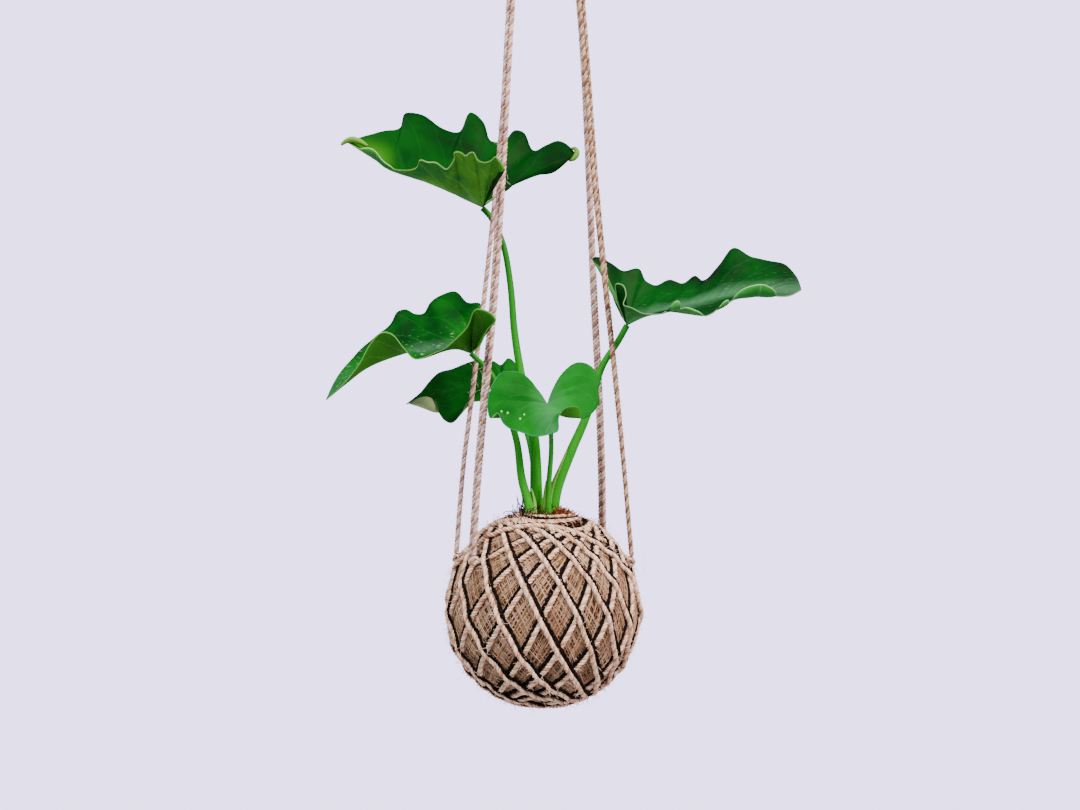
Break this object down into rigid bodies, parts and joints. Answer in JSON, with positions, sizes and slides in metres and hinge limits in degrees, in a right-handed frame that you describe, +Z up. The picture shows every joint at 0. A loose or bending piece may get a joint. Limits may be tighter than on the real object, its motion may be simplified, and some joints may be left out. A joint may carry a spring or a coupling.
{
  "type": "hanging kokedama plant",
  "caption": "A ball of soil and coir bound in thread and a net of jute cord, with arrow-shaped green leaves on long stalks, hung on jute rope strands that meet in a knot with a loop.",
  "frame": {"origin": "the inside of the crown of the hanging loop, where a ceiling hook bears, on the vertical axis of the ball", "axes": "+Z up along the hanging line; +X to the right as the picture sees it; -Y towards the viewer of the picture"},
  "size_m": [0.3612, 0.1504, 0.8076],
  "materials": {
    "soil": "damp soil and coir fibre, matt",
    "thread": "fine jute thread, matt",
    "yarn": "dark brown-black yarn, matt",
    "cord": "pale jute cord, matt",
    "leaf": "living leaf, softly glossy",
    "rope": "twisted jute rope, hairy, matt"
  },
  "bodies": {
    "root": {"cord_net": "cord", "dark_yarn": "yarn", "hanger_knot": "rope", "leaf_front": "leaf", "leaf_left": "leaf", "leaf_rear": "leaf", "leaf_right": "leaf", "leaf_top": "leaf", "rope_1": "rope", "rope_2": "rope", "rope_3": "rope", "rope_4": "rope", "rope_5": "rope", "rope_6": "rope", "rope_7": "rope", "rope_8": "rope", "soil_core": "soil", "twine_wrap": "thread"}
  },
  "joints": []
}
